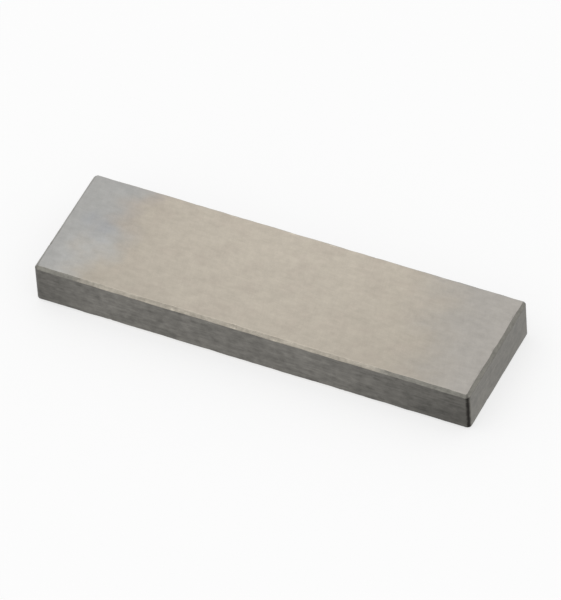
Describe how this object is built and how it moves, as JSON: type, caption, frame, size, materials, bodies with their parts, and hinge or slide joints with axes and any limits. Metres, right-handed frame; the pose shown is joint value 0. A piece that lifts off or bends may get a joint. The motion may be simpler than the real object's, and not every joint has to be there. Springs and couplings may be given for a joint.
{
  "type": "gauge block",
  "caption": "Flat rectangular steel gauge block with lapped parallel measuring faces a set length apart, ground sides and broken edges.",
  "frame": {"origin": "centre of the lower measuring face, on which the block rests", "axes": "+X along the longer side of the section, +Y along the shorter side, +Z in the gauging direction, from the lower measuring face to the upper one"},
  "size_m": [0.03, 0.009, 0.003],
  "materials": {
    "hardened_steel": "lapped satin on the measuring faces, fine ground and darker on the narrow sides"
  },
  "bodies": {
    "root": {"gauge_block": "hardened_steel"}
  },
  "joints": []
}
